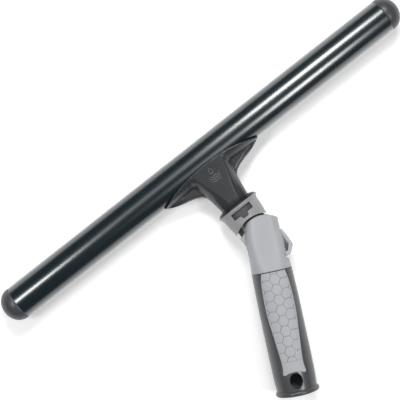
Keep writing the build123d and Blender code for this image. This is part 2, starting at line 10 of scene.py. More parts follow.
import bpy
import bmesh
import numpy as np
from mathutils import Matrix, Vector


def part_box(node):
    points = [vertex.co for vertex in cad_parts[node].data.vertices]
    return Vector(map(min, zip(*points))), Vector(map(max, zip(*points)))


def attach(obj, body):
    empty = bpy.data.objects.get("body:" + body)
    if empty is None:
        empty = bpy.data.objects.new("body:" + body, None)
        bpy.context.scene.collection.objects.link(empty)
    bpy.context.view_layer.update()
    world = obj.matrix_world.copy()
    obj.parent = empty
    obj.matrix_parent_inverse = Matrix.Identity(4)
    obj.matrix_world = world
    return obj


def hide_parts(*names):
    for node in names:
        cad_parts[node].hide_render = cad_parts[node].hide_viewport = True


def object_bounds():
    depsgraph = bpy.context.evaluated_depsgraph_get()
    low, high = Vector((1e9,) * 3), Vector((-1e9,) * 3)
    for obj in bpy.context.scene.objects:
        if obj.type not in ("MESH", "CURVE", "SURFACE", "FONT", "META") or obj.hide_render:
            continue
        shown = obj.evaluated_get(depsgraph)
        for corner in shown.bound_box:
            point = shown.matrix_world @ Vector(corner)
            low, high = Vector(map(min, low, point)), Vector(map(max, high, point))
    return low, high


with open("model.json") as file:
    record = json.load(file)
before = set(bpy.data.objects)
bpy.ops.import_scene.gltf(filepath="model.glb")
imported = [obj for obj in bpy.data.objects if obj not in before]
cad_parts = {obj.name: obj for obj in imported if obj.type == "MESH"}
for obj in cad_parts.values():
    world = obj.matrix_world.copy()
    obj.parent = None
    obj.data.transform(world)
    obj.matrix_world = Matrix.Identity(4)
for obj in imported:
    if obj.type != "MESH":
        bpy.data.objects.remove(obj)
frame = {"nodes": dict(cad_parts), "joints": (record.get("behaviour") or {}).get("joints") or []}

cad_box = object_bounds()
hinges = {joint["name"]: joint for joint in frame["joints"]}
print("parts:", len(frame["nodes"]), "moving joints:", sorted(hinges))

# %% [markdown]
# ## Three places to draw from
# The head, the tube and the grip each have their own directions, and drawing is easier in those.
# Each function below takes millimetres across, along and out of its part and gives metres in the
# row's frame. The swivel's joint gives the pivot, and the origin is the mouth of the pole socket, so
# the line between them is the grip's own axis.

# %% Places
MM = 0.001
PIVOT = np.array(hinges["swivel"]["pos_m"])
GRIP_LENGTH = np.linalg.norm(PIVOT) / MM
UP_GRIP = PIVOT / np.linalg.norm(PIVOT)
ACROSS_GRIP = np.array([UP_GRIP[1], -UP_GRIP[0], 0.0])
TUBE_LOW, TUBE_HIGH = (np.array(corner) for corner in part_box("tube"))
TUBE_MIDDLE = (TUBE_LOW + TUBE_HIGH) / 2
TUBE_RADIUS = (TUBE_HIGH[2] - TUBE_LOW[2]) / 2 / MM
SEAM = (TUBE_HIGH[0] - TUBE_LOW[0]) / 2 / MM
CAP_TIP = (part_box("end_cap_right")[1][0] - TUBE_MIDDLE[0]) / MM
TUBE_REACH = (TUBE_MIDDLE[1] - PIVOT[1]) / MM
EAST, NORTH, OUT = np.eye(3)


def placed(start, side, ahead, across, along, out):
    """A start point plus millimetres across, along and out, as an array of points in metres."""
    across, along, out = np.broadcast_arrays(across, along, out)
    steps = across[..., None] * side + along[..., None] * ahead + out[..., None] * OUT
    return start + MM * steps


def on_head(across, along, out):
    """Across is along the tube, along is from the swivel towards the tube."""
    return placed(PIVOT, EAST, NORTH, across, along, out)


def on_grip(across, along, out):
    """Along is up the grip from the swivel, so the grip itself has negative values."""
    return placed(PIVOT, ACROSS_GRIP, UP_GRIP, across, along, out)


def on_tube(across, along, out):
    """Along is along the tube from its middle, across is away from the grip."""
    return placed(TUBE_MIDDLE, NORTH, EAST, across, along, out)


print("grip", round(GRIP_LENGTH, 1), "mm, tube radius", round(TUBE_RADIUS, 2), "mm")
print("cap tips", round(CAP_TIP, 1), "mm from the tube's middle")

# %% [markdown]
# ## Camera, light and table
# The tool is seen from straight above, turned so that the tube runs up to the right. Glossy lacquer
# shows its surroundings, so the light is made as a studio would: five soft boxes high over the tool
# in a dim room, and a white table that the sides of the tube mirror.

# %% Camera
CAMERA_HEIGHT = 1.081
CAMERA_OVER = PIVOT + MM * np.array([-23.3, 66.2, 0])
ROLL = 38.2

camera_data = bpy.data.cameras.new("camera")
camera_data.lens = 107.4
camera_data.sensor_width = 36
camera = bpy.data.objects.new("camera", camera_data)
camera.location = CAMERA_OVER + CAMERA_HEIGHT * OUT
camera.rotation_euler = (0, 0, -np.radians(ROLL))
bpy.context.scene.collection.objects.link(camera)
bpy.context.scene.camera = camera
bpy.context.scene.view_settings.view_transform = "Standard"

# %% Table and lights
TABLE_GAP = 0.0003


def soft_box(name, centre, size, strength):
    """A rectangular lamp at a place in metres from the tube's middle, facing the tool."""
    lamp = bpy.data.lights.new(name, "AREA")
    lamp.shape = "RECTANGLE"
    lamp.size, lamp.size_y = size
    lamp.energy = strength * size[0] * size[1] * np.pi
    box = bpy.data.objects.new(name, lamp)
    box.location = TUBE_MIDDLE + np.array(centre)
    bpy.context.scene.collection.objects.link(box)
    return box


soft_box("box_far_right", (0.385, 0.56, 1.0), (0.44, 0.42), 19)
soft_box("box_far_left", (-0.56, 0.235, 1.0), (0.30, 0.24), 21)
soft_box("box_near_right", (0.36, -0.67, 1.0), (0.21, 0.46), 20)
soft_box("box_far_middle", (-0.08, 0.38, 1.0), (0.46, 0.40), 1.2)
soft_box("box_near_middle", (0.06, -0.60, 1.0), (0.28, 0.46), 1.2)

world = bpy.data.worlds.new("room")
world.use_nodes = True
room = world.node_tree.nodes["Background"]
room.inputs["Color"].default_value = (0.97, 0.98, 1.0, 1.0)
room.inputs["Strength"].default_value = 0.10
bpy.context.scene.world = world

# %% [markdown]
# ## Shader sums written as sums
# A finish needs a little arithmetic on textures. The class below wraps a socket so that + and * add the
# Math nodes, and Finish.add makes every other node: its settings first, then its inputs.


# %% Shader arithmetic
class Value:
    """A number from a socket; an operator on it adds one Math node."""

    def __init__(self, finish, socket):
        self.finish, self.socket = finish, socket

    def sum_with(self, operation, left, right):
        node = self.finish.add("ShaderNodeMath", {"operation": operation}, {0: left, 1: right})
        return Value(self.finish, node.outputs[0])

    def __add__(self, other):
        return self.sum_with("ADD", self, other)

    def __mul__(self, other):
        return self.sum_with("MULTIPLY", self, other)

    __radd__ = __add__
    __rmul__ = __mul__


class Finish:
    """One material: its shader is set from plain numbers, and add() makes each further node."""

    def __init__(self, name, colour, roughness, **settings):
        self.material = bpy.data.materials.new(name)
        self.material.use_nodes = True
        self.tree = self.material.node_tree
        self.shader = self.tree.nodes["Principled BSDF"]
        self.shader.inputs["Base Color"].default_value = (*colour, 1.0)
        self.shader.inputs["Roughness"].default_value = roughness
        for socket, value in settings.items():
            self.shader.inputs[socket.replace("_", " ")].default_value = value
        self.material.diffuse_color = (*colour, 1.0)
        self.place = self.add("ShaderNodeTexCoord").outputs["Object"]

    def add(self, kind, settings=None, inputs=None):
        node = self.tree.nodes.new(kind)
        for setting, value in (settings or {}).items():
            setattr(node, setting, value)
        for socket, value in (inputs or {}).items():
            value = value.socket if isinstance(value, Value) else value
            if isinstance(value, bpy.types.NodeSocket):
                self.tree.links.new(value, node.inputs[socket])
            else:
                node.inputs[socket].default_value = value
        return node

    def noise(self, scale, detail=3.0, stretch=(1, 1, 1)):
        """Smooth noise from 0 to 1, with scale in waves per metre, stretched along the row's axes."""
        place = self.add("ShaderNodeMapping", None, {"Vector": self.place, "Scale": stretch}).outputs[0]
        node = self.add("ShaderNodeTexNoise", None, {"Vector": place, "Scale": scale, "Detail": detail})
        return Value(self, node.outputs["Fac"])

    def between(self, low, high, factor):
        """A colour mixed from low to high by a factor."""
        node = self.add(
            "ShaderNodeMix",
            {"data_type": "RGBA"},
            {"Factor": factor, 6: (*low, 1.0), 7: (*high, 1.0)},
        )
        return node.outputs[2]

    def attribute(self, name):
        """A number stored on the mesh's own points."""
        return Value(self, self.add("ShaderNodeAttribute", {"attribute_name": name}).outputs["Fac"])

    def colour(self, socket):
        self.tree.links.new(socket, self.shader.inputs["Base Color"])

    def roughness(self, value):
        self.tree.links.new(value.socket, self.shader.inputs["Roughness"])

    def relief(self, height, depth):
        """A bump map with its depth in millimetres."""
        node = self.add("ShaderNodeBump", None, {"Height": height, "Distance": depth * MM, "Strength": 1.0})
        self.tree.links.new(node.outputs["Normal"], self.shader.inputs["Normal"])


# %% [markdown]
# ## Finishes
# Several plastics, one lacquer, one soft rubber and the metals. A moulding tool is spark-eroded or
# polished, and that grain is what tells a satin plastic from a glossy one, so each plastic has a fine
# grain, a slow drift in tone and a little spread in roughness from handling.


# %% Plastics
def moulded(name, colour, roughness, grain=900, depth=0.02, drift=0.12, **settings):
    """A moulded plastic: a fine grain in relief, and a tone and a gloss that drift slowly."""
    finish = Finish(name, colour, roughness, **settings)
    slow = finish.noise(28, 2.0)
    fine = finish.noise(grain, 2.0)
    low = tuple(channel * (1 - drift) for channel in colour)
    high = tuple(channel * (1 + drift) for channel in colour)
    finish.colour(finish.between(low, high, slow))
    finish.roughness(slow * 0.10 + fine * 0.06 + (roughness - 0.08))
    finish.relief(fine, depth)
    return finish.material


light_nylon = moulded("light_nylon", (0.385, 0.394, 0.414), 0.42, drift=0.04)
# The collar is the same light nylon as the fork, coloured darker: painted shade.
collar_nylon_painted_shade = moulded("collar_nylon_painted_shade", (0.295, 0.298, 0.305), 0.40, drift=0.05)
# The mark is the bracket's dark plastic coloured lighter: a painted highlight on its ridges.
mark_painted_highlight = moulded("mark_painted_highlight", (0.115, 0.12, 0.13), 0.38, grain=700)
dark_plastic = moulded("dark_plastic", (0.036, 0.038, 0.042), 0.28, grain=700, depth=0.02)
cap_plastic = moulded("cap_plastic", (0.050, 0.053, 0.060), 0.40, grain=700, depth=0.03)
handle_plastic = moulded("handle_plastic", (0.068, 0.070, 0.075), 0.29, grain=800)
# Black nylon for the plug; on the seals the same black is a painted shade.
black_nylon = moulded("black_nylon", (0.017, 0.017, 0.020), 0.45)
# The sleeve is coloured lighter than the grip, so its far wall, in shade inside the lock hole, looks less
# dark: painted light.
sleeve_plastic_painted_light = moulded("sleeve_plastic_painted_light", (0.11, 0.11, 0.125), 0.50)
latch_plastic = moulded("latch_plastic", (0.056, 0.052, 0.054), 0.50, grain=600, depth=0.12, drift=0.45)
washer_plastic = moulded("washer_plastic", (0.70, 0.70, 0.66), 0.40)
brake_rubber = moulded("brake_rubber", (0.020, 0.020, 0.020), 0.75, grain=500, depth=0.05)

# %% Lacquer on the tube
lacquer = Finish(
    "tube_lacquer", (0.0004, 0.008, 0.012), 0.30, Coat_Weight=1.0, Coat_Roughness=0.22, Coat_IOR=1.6
)
draw_lines = lacquer.noise(60, 3.0, stretch=(0.04, 6, 6))
handling = lacquer.noise(35, 4.0)
lacquer.roughness(handling * 0.12 + draw_lines * 0.05 + 0.19)
lacquer.colour(lacquer.between((0.0003, 0.007, 0.0105), (0.0005, 0.009, 0.0135), handling))
lacquer.relief(draw_lines, 0.004)

# %% Rubber on the grip
grip_rubber = Finish("grip_rubber", (0.33, 0.34, 0.36), 0.62, Specular_IOR_Level=0.35)
pores = grip_rubber.noise(1300, 2.0)
soil = grip_rubber.noise(45, 3.0)
groove = grip_rubber.attribute("groove")
# The grooves are darkened in the colour as painted shade; the soil noise darkens it at random.
grip_rubber.colour(grip_rubber.between((0.42, 0.43, 0.45), (0.20, 0.205, 0.215), groove * 0.14 + soil * 0.12))
grip_rubber.roughness(soil * 0.12 + pores * 0.08 + 0.5)
grip_rubber.relief(pores, 0.03)


# %% Metals
def metal(name, colour, roughness):
    """A bright metal with turning marks: fine noise stretched round the part."""
    finish = Finish(name, colour, roughness, Metallic=1.0)
    marks = finish.noise(700, 2.0, stretch=(1, 1, 5))
    finish.roughness(marks * 0.2 + (roughness - 0.1))
    finish.relief(marks, 0.01)
    return finish.material


steel = metal("zinc_steel", (0.62, 0.62, 0.63), 0.32)
brass = metal("bush_brass", (0.78, 0.58, 0.30), 0.30)

# %% [markdown]
# ## Surfaces from grids
# Every new piece starts as a grid of points worked out at once with numpy, and cutters of the same kind
# take out its slots and holes. Neighbouring points make faces, rows that shrink to a point are merged,
# and an edge sharper than an angle stays crisp.


# %% Meshes
SMOOTH_BELOW = np.radians(38)


def mesh_piece(name, points, faces):
    """An object from points in metres and faces of point numbers, closed, with its faces outwards."""
    data = bpy.data.meshes.new(name)
    data.from_pydata(points.reshape(-1, 3).tolist(), [], faces)
    shell = bmesh.new()
    shell.from_mesh(data)
    bmesh.ops.remove_doubles(shell, verts=shell.verts, dist=1e-6)
    bmesh.ops.dissolve_degenerate(shell, edges=shell.edges, dist=1e-7)
    bmesh.ops.recalc_face_normals(shell, faces=shell.faces)
    shell.to_mesh(data)
    shell.free()
    piece = bpy.data.objects.new(name, data)
    bpy.context.scene.collection.objects.link(piece)
    smooth(piece)
    return piece


def smooth(piece):
    """Smooth shading, with edges over the limit kept sharp."""
    piece.data.shade_smooth()
    piece.data.set_sharp_from_angle(angle=SMOOTH_BELOW)


def grid_faces(rows, columns, around=False, along=False, first=0):
    """The four-sided faces of a grid of points, joined back to its start around its columns or rows."""
    last_row, last_column = rows - (not along), columns - (not around)
    row, column = np.meshgrid(np.arange(last_row), np.arange(last_column), indexing="ij")
    next_row, next_column = (row + 1) % rows, (column + 1) % columns
    corners = [(row, column), (row, next_column), (next_row, next_column), (next_row, column)]
    return np.stack([r * columns + c + first for r, c in corners], -1).reshape(-1, 4).tolist()


def skin(name, points, around=False, along=False):
    """A piece from one grid of points, [row, column, xyz]."""
    return mesh_piece(name, points, grid_faces(*points.shape[:2], around, along))


def slab(name, top, bottom):
    """A closed piece between two grids of the same size: both skins, and a wall round their edge."""
    rows, columns = top.shape[:2]
    count = rows * columns
    number = np.arange(count).reshape(rows, columns)
    edge = np.concatenate([number[0], number[1:, -1], number[-1, -2::-1], number[-2:0:-1, 0]])
    after = np.roll(edge, -1)
    wall = np.stack([edge, after, after + count, edge + count], -1).tolist()
    faces = grid_faces(rows, columns) + grid_faces(rows, columns, first=count) + wall
    return mesh_piece(name, np.concatenate([top.reshape(-1, 3), bottom.reshape(-1, 3)]), faces)


def rounded(corners, radius, steps=5):
    """A closed outline with its corners rounded: a parabola from a point before to a point after each."""
    corners = np.asarray(corners, float)
    radius = np.broadcast_to(radius, len(corners))
    turns = []
    for before, corner, after, reach in zip(np.roll(corners, 1, 0), corners, np.roll(corners, -1, 0), radius):
        back, ahead = before - corner, after - corner
        start = corner + back * min(reach / np.linalg.norm(back), 0.45)
        end = corner + ahead * min(reach / np.linalg.norm(ahead), 0.45)
        t = np.linspace(0, 1, steps)[:, None]
        turns.append((1 - t) ** 2 * start + 2 * t * (1 - t) * corner + t**2 * end)
    return np.concatenate(turns)


def turned(name, place, section, sides=128):
    """A turned piece: a closed section of (radius, along) points carried round its part's axis."""
    angle = np.linspace(0, 2 * np.pi, sides, endpoint=False)
    radius, along = section[:, :1], section[:, 1:]
    return skin(name, place(radius * np.cos(angle), along, radius * np.sin(angle)), around=True, along=True)


def through(points, at):
    """A smooth curve through (position, value) points, read at positions: cubic pieces whose slope at
    each point is the mean of the slopes beside it."""
    x, y = np.asarray(points, float).T
    slope = np.gradient(y, x)
    at = np.clip(at, x[0], x[-1])
    k = np.clip(np.searchsorted(x, at, "right") - 1, 0, len(x) - 2)
    width = x[k + 1] - x[k]
    t = (at - x[k]) / width
    rise = (1 + 2 * t) * (1 - t) ** 2 * y[k] + t**2 * (3 - 2 * t) * y[k + 1]
    return rise + width * (t * (1 - t) ** 2 * slope[k] - t**2 * (1 - t) * slope[k + 1])


def cut(piece, cutter, operation="DIFFERENCE"):
    """Takes a cutter out of a piece, or joins or meets the two, and throws the cutter away."""
    step = piece.modifiers.new("cut", "BOOLEAN")
    step.operation, step.object, step.solver = operation, cutter, "EXACT"
    applied(piece)
    bpy.data.objects.remove(cutter)
    return piece


def applied(piece):
    """Makes a piece's modifiers part of its mesh."""
    result = bpy.data.meshes.new_from_object(piece.evaluated_get(bpy.context.evaluated_depsgraph_get()))
    piece.modifiers.clear()
    piece.data = result
    smooth(piece)
    return piece


def prism(name, place, outline, low, high, edge=0.0, steps=3):
    """A straight-sided piece: an outline of (across, along) points from one height to another, with
    its top and bottom edges rounded over by a small amount."""
    outline = np.asarray(outline, float)
    ahead = np.roll(outline, -1, 0) - np.roll(outline, 1, 0)
    normal = np.stack([ahead[:, 1], -ahead[:, 0]], -1) / np.linalg.norm(ahead, axis=1)[:, None]
    area = np.sum(outline[:, 0] * np.roll(outline[:, 1], -1) - outline[:, 1] * np.roll(outline[:, 0], -1))
    inwards = -normal * np.sign(area)
    bend = np.linspace(0, np.pi / 2, steps) if edge else np.array([np.pi / 2])
    inset = edge * (1 - np.sin(bend))
    rise = edge * (1 - np.cos(bend))
    insets = np.concatenate([inset, inset[::-1]])
    heights = np.concatenate([low + rise, high - rise[::-1]])
    rings = outline[None] + insets[:, None, None] * inwards[None]
    points = place(rings[..., 0], rings[..., 1], heights[:, None])
    rows, columns = points.shape[:2]
    ends = [list(range(columns)), list(range((rows - 1) * columns, rows * columns))]
    return mesh_piece(name, points, grid_faces(rows, columns, around=True) + ends)


def finish_piece(piece, material, slot, body, *nodes):
    """Gives a piece its material and its body, and hides the parts that it stands for. Its slot is not used.
    """
    piece.data.materials.clear()
    piece.data.materials.append(material)
    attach(piece, body)
    if nodes:
        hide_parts(*nodes)
    print(piece.name, len(piece.data.polygons), "faces")
    return piece


# %% [markdown]
# ## The tube and its caps
# A drawn tube needs only its two walls and small broken edges at the ends. The caps are moulded: a
# short straight band, then a dome, with a shadow line where the cap meets the tube. Both are turned
# from a section, because that gives an exact circle with even faces for the long highlights.

# %% Tube
TUBE_BORE = 14.2
tube_section = rounded(
    [(TUBE_RADIUS, -SEAM), (TUBE_RADIUS, SEAM), (TUBE_BORE, SEAM), (TUBE_BORE, -SEAM)], 0.35
)
tube = turned("tube_drawn", on_tube, tube_section, sides=160)
finish_piece(tube, lacquer.material, "tube", "head", "tube")

# %% Caps
CAP_BAND = 2.0
CAP_DOME = CAP_TIP - SEAM - CAP_BAND
CAP_SPIGOT = 14.0
CAP_WALL = 2.0


def cap_section(side):
    """The section of a cap: a quarter ellipse from the tip to the band, a small lip, and the spigot."""
    sweep = np.linspace(0, np.pi / 2, 28)
    dome = np.stack([TUBE_RADIUS * np.sin(sweep), SEAM + CAP_BAND + CAP_DOME * np.cos(sweep)], -1)
    inside = np.stack([(TUBE_BORE - CAP_WALL) * np.sin(sweep), SEAM + (CAP_DOME - 1) * np.cos(sweep)], -1)
    lip = [(TUBE_RADIUS, SEAM + 0.5), (TUBE_RADIUS - 0.35, SEAM + 0.02), (TUBE_BORE, SEAM)]
    spigot = [(TUBE_BORE, SEAM - CAP_SPIGOT), (TUBE_BORE - CAP_WALL, SEAM - CAP_SPIGOT)]
    section = np.concatenate([dome, lip, spigot, inside[::-1]])
    return section * (1, side)


for side, node in ((-1, "end_cap_left"), (1, "end_cap_right")):
    cap = turned(node + "_dome", on_tube, cap_section(side))
    finish_piece(cap, cap_plastic, "caps", "head", node)

# %% [markdown]
# ## The saddle bracket
# The bracket is a neck that spreads into two thin wings under the tube. It is made of heights over
# its front outline: a neck with a flat facet, a skin that follows the tube and a low web, joined by
# a smooth maximum that leaves the hollow fillets of a moulding. The back has the same shape, and two
# round recesses for the screws that hold the neck.

# %% Bracket heights
WING_REACH = 53.1
RIM_PEAK = 89.1
RIM_ARC = 142.7
SKIN_RADIUS = TUBE_RADIUS + 1.7
FACET_FOOT = 10.4
FACET_LEAN = 0.128
FACET_START = 46
FILLET = 6.0
WEB_FILLET = 5.0
WEB = 4.5
WEB_EDGE = 3.0
RIM_ROUND = 1.3
NECK_CORNER = (14.0, 17.5)
LOWER_EDGE = [
    (0, 44.4), (14.3, 44.5), (14.75, 48), (15.6, 55), (16.8, 61.4), (19, 65.4),
    (23, 68), (30, 70.6), (38, 72.6), (45.4, 75), (53.1, 78.8),
]
FACET_HALF = [(44, 4.6), (50, 5.1), (55.5, 6.4), (68, 10.4), (84.8, 15.4), (90, 17.0)]
NECK_HALF = [(44, 14.4), (50, 15.0), (57, 16.0), (64, 17.4), (72, 19.6), (80, 22.0), (90, 25.0)]


def smooth_max(a, b, reach):
    """The larger of two heights, with a round fillet where they are within reach of each other."""
    near = np.clip(1 - np.abs(a - b) / np.maximum(reach, 1e-6), 0, 1)
    return np.maximum(a, b) + near**2 * reach / 4


def facet_height(y):
    """The facet is a plane that leans out towards the tube."""
    return FACET_FOOT + FACET_LEAN * (y - FACET_START)


def bracket_height(x, y, edge, rim):
    """The bracket's half thickness at (x, y); edge and rim are the distances in from its lower and
    upper outlines."""
    x = np.abs(x)
    inner, outer = through(FACET_HALF, y), through(NECK_HALF, y)
    t = np.clip((x - inner) / (outer - inner), 0, 1)
    neck = facet_height(y) * np.clip(1 - t**1.35, 0, 1) ** 0.6
    skin_height = np.sqrt(np.clip(SKIN_RADIUS**2 - (TUBE_REACH - y) ** 2, 0, None))
    web = WEB * np.clip((WING_REACH - x) / 20, 0.35, 1)
    web = web * np.sqrt(np.clip(1 - (1 - np.clip(edge / WEB_EDGE, 0, 1)) ** 2, 0, 1))
    reach = FILLET * np.clip((x - inner) / 4, 0, 1)
    web_reach = np.minimum(reach, WEB_FILLET) * np.clip(edge / 4, 0, 1)
    height = smooth_max(smooth_max(neck, skin_height, reach), web, web_reach)
    return height - RIM_ROUND * (1 - np.sqrt(1 - (1 - np.clip(rim / RIM_ROUND, 0, 1)) ** 2))


# %% Bracket surface
def bracket_grid():
    """One closed loop for each position across: up the front, over the rim, round the tube and back."""
    turn = np.linspace(-1, 1, 181)
    across = np.sign(turn) * WING_REACH * (0.55 * np.abs(turn) + 0.45 * np.abs(turn) ** 3)
    corner = np.linspace(*NECK_CORNER, 15)
    across = np.unique(np.concatenate([across, corner, -corner]))
    low = through(LOWER_EDGE, np.abs(across))[:, None]
    rim = (RIM_PEAK - RIM_ARC + np.sqrt(RIM_ARC**2 - across**2))[:, None]
    rim[[0, -1]] = low[[0, -1]]
    x = across[:, None]
    up = 1 - (1 - np.linspace(0, 1, 96)[None]) ** 1.25
    y = low + (rim - low) * up
    steep = np.gradient(low[:, 0], across)[:, None]
    edge = (y - low) / np.sqrt(1 + steep**2)
    z = bracket_height(x, y, edge, rim - y)
    foot = np.linspace(0, 1, 8)[None, :-1] * z[:, :1]
    half_angle = np.arccos(np.clip((TUBE_REACH - rim) / TUBE_RADIUS, -1, 1))
    bed = half_angle * np.linspace(1, -1, 41)[None]
    bed_y = np.where(half_angle > 0, TUBE_REACH - TUBE_RADIUS * np.cos(bed), rim)
    bed_z = TUBE_RADIUS * np.sin(bed)
    loop_y = np.concatenate([low + 0 * foot, y, bed_y, y[:, ::-1], low + 0 * foot[:, 1:]], 1)
    loop_z = np.concatenate([foot, z, bed_z, -z[:, ::-1], -foot[:, :0:-1]], 1)
    return on_head(x, loop_y, loop_z)


NECK_SCREWS = (51, 59)
NECK_SEAT = -9.6
HEAD_RECESS = 3.1
PAST_THE_BACK = -30
circle = np.linspace(0, 2 * np.pi, 48, endpoint=False)
ring = np.stack([np.cos(circle), np.sin(circle)], -1)

bracket = skin("bracket_moulding", bracket_grid(), around=True)
for along in NECK_SCREWS:
    cut(bracket, prism("neck_recess", on_head, HEAD_RECESS * ring + (0, along), PAST_THE_BACK, NECK_SEAT))
finish_piece(bracket, dark_plastic, "bracket", "head", "tube_bracket")

# %% [markdown]
# A small raised mark sits on the facet. It is a plain drop over three waves. Thin round ribs follow
# their curves, half sunk in the facet. The ribs are coloured lighter than the facet: a painted highlight.


# %% Raised mark on the facet
def rib(name, path, radius, sides=8):
    """A thin round rib along a path of points in metres, tapering to nothing at both ends."""
    ahead = np.gradient(path, axis=0)
    ahead /= np.linalg.norm(ahead, axis=1)[:, None]
    side = np.cross(ahead, OUT)
    up = np.cross(side, ahead)
    angle = np.linspace(0, 2 * np.pi, sides, endpoint=False)
    taper = np.sin(np.linspace(0, np.pi, len(path)))[:, None, None] ** 0.4
    hoop = np.cos(angle)[None, :, None] * side[:, None] + np.sin(angle)[None, :, None] * up[:, None]
    return skin(name, path[:, None] + radius * MM * taper * hoop, around=True)


def facet_point(x, y):
    """A point on the facet's face."""
    return on_head(x, y, facet_height(y))


MARK_RADIUS = 0.4
DROP_MIDDLE = 81.0
DROP_HALF = (2.3, 2.8)
WAVES = ((75.2, 6.6), (73.0, 6.0), (70.8, 5.2))
WAVE_HEIGHT = 0.6
WAVE_TURN = 1.35
step = np.linspace(0, 2 * np.pi, 60)
drop_y = DROP_MIDDLE + DROP_HALF[1] * np.cos(step)
drop = facet_point(DROP_HALF[0] * np.sin(step) * np.sin(step / 2), drop_y)
marks = [rib("mark_drop", drop, MARK_RADIUS)]
for row, reach in WAVES:
    wave_x = np.linspace(-reach, reach, 60)
    wave = facet_point(wave_x, row + WAVE_HEIGHT * np.sin(wave_x * WAVE_TURN))
    marks.append(rib("mark_wave", wave, MARK_RADIUS))
for number, mark in enumerate(marks):
    mark.name = f"facet_mark_{number + 1}"
    finish_piece(mark, mark_painted_highlight, "bracket", "head")

# %% [markdown]
# ## The collar
# The collar is turned, but its lower end is cut by the sweep of the fork, so its section starts at a
# different height all the way round. The T-shaped window is cut last with a straight cutter, the way
# a moulding tool's core makes it.

# %% Collar
COLLAR_FOOT = 18.0
COLLAR_SHOULDER = 40.4
COLLAR_TOP = 41.5
LIP_RADIUS = 20.35
LIP_ALONG = 40.95
LIP_HALF = (0.45, 0.5)
SOCKET_RADIUS = 13.5
SOCKET_MOUTH = 14.6
SOCKET_FLOOR = 28.6
SWEEP = 26.3
COLLAR_SIDE = [(18, 17.3), (21, 17.35), (28.6, 18.2), (34, 18.65), (37.5, 18.95), (39.2, 19.9), (40.3, 20.8)]
TONGUE = 6.7
BUSH_HOLE = 6.0
TONGUE_RADIUS = 16.5
TONGUE_SHOULDERS = np.array([(16.5, 15.5), (9.5, 18.5), (9.5, 27.5)])

angle = np.linspace(0, 2 * np.pi, 160, endpoint=False)[None]
start = np.full_like(angle, COLLAR_FOOT)
for _ in range(4):
    start = np.sqrt(SWEEP**2 - (through(COLLAR_SIDE, start) * np.cos(angle)) ** 2)
wall = np.linspace(0, 1, 60)[:, None] ** 0.8
along = start + (COLLAR_SHOULDER - start) * wall
radius = through(COLLAR_SIDE, along)
lip_turn = np.linspace(0, np.pi, 9)[1:, None]
lip_radius = LIP_RADIUS + LIP_HALF[0] * np.cos(lip_turn) + 0 * angle
lip_along = LIP_ALONG + LIP_HALF[1] * np.sin(lip_turn) + 0 * angle
socket_along = np.array([COLLAR_TOP - 0.1, COLLAR_TOP - 1.0, SOCKET_FLOOR])[:, None] + 0 * angle
socket_radius = np.array([SOCKET_MOUTH, SOCKET_RADIUS, SOCKET_RADIUS])[:, None] + 0 * angle
floor_radius = np.linspace(SOCKET_RADIUS, 0, 12)[1:, None] + 0 * angle
base_radius = np.linspace(0, 1, 24)[:-1, None] * through(COLLAR_SIDE, start)
base_along = np.sqrt(SWEEP**2 - (base_radius * np.cos(angle)) ** 2)
collar_radius = np.concatenate([base_radius, radius, lip_radius, socket_radius, floor_radius])
collar_along = np.concatenate([base_along, along, lip_along, socket_along, SOCKET_FLOOR + 0 * floor_radius])
collar = skin(
    "collar_turned",
    on_head(collar_radius * np.cos(angle), collar_along, collar_radius * np.sin(angle)),
    around=True,
)

sweep = np.linspace(np.pi, 2 * np.pi, 49)
round_end = TONGUE_RADIUS * np.stack([np.cos(sweep), np.sin(sweep)], -1)
tongue_outline = np.concatenate([round_end, TONGUE_SHOULDERS, (TONGUE_SHOULDERS * (-1, 1))[::-1]])
tongue = prism("tongue", on_head, tongue_outline, -TONGUE, TONGUE, edge=0.5)
cut(collar, tongue, "UNION")
cut(collar, prism("bush_hole", on_head, BUSH_HOLE * ring, -10, 10))
WINDOW = [
    (-10.2, 32.2), (-3.6, 32.2), (-3.2, 29.0), (3.2, 29.0),
    (3.6, 32.2), (10.2, 32.2), (10.2, 38.15), (-10.2, 38.15),
]
WINDOW_ROUNDS = [0.5, 0.4, 1.8, 1.8, 0.4, 0.5, 0.5, 0.5]
cut(collar, prism("window", on_head, rounded(WINDOW, WINDOW_ROUNDS), 5.0, 30.0))
finish_piece(collar, collar_nylon_painted_shade, "light_nylon", "head", "swivel_collar")

# %% [markdown]
# ## The fork
# Two shells make the fork. Over its front outline the fork is a cushion-shaped height: nearly flat in
# the middle, round at the sides, and closer to a circle where it meets the grip. The slot for the
# tongue and the lever's window are cut from the whole form before it is parted in the middle.

# %% Fork form
FORK_FOOT = -26.7
FORK_ARC = 24.6
FORK_LEFT = [
    (-26.7, 18.4), (-18, 17.9), (-10, 17.7), (0, 17.85), (6, 17.6),
    (11, 17.0), (16, 16.2), (20, 15.2), (25, 14.5),
]
FORK_RIGHT = [
    (-26.7, 18.4), (-18, 17.8), (-10, 17.4), (0, 17.3), (6, 16.9),
    (11, 15.7), (15, 15.3), (20, 15.6), (25, 15.6),
]
FORK_DEPTH = [(-26.7, 17.6), (-18, 16.8), (-10, 16.3), (0, 16.2), (25, 16.2)]
FORK_ROUND = [(-26.7, 2.1), (-20, 2.5), (-8, 3.1), (25, 3.3)]
CROWN_HALF = 15.35
FORK_EDGE = 1.1
FOOT_EDGE = 0.5
CREASE = 9.1
CREASE_SLOPE = 0.10

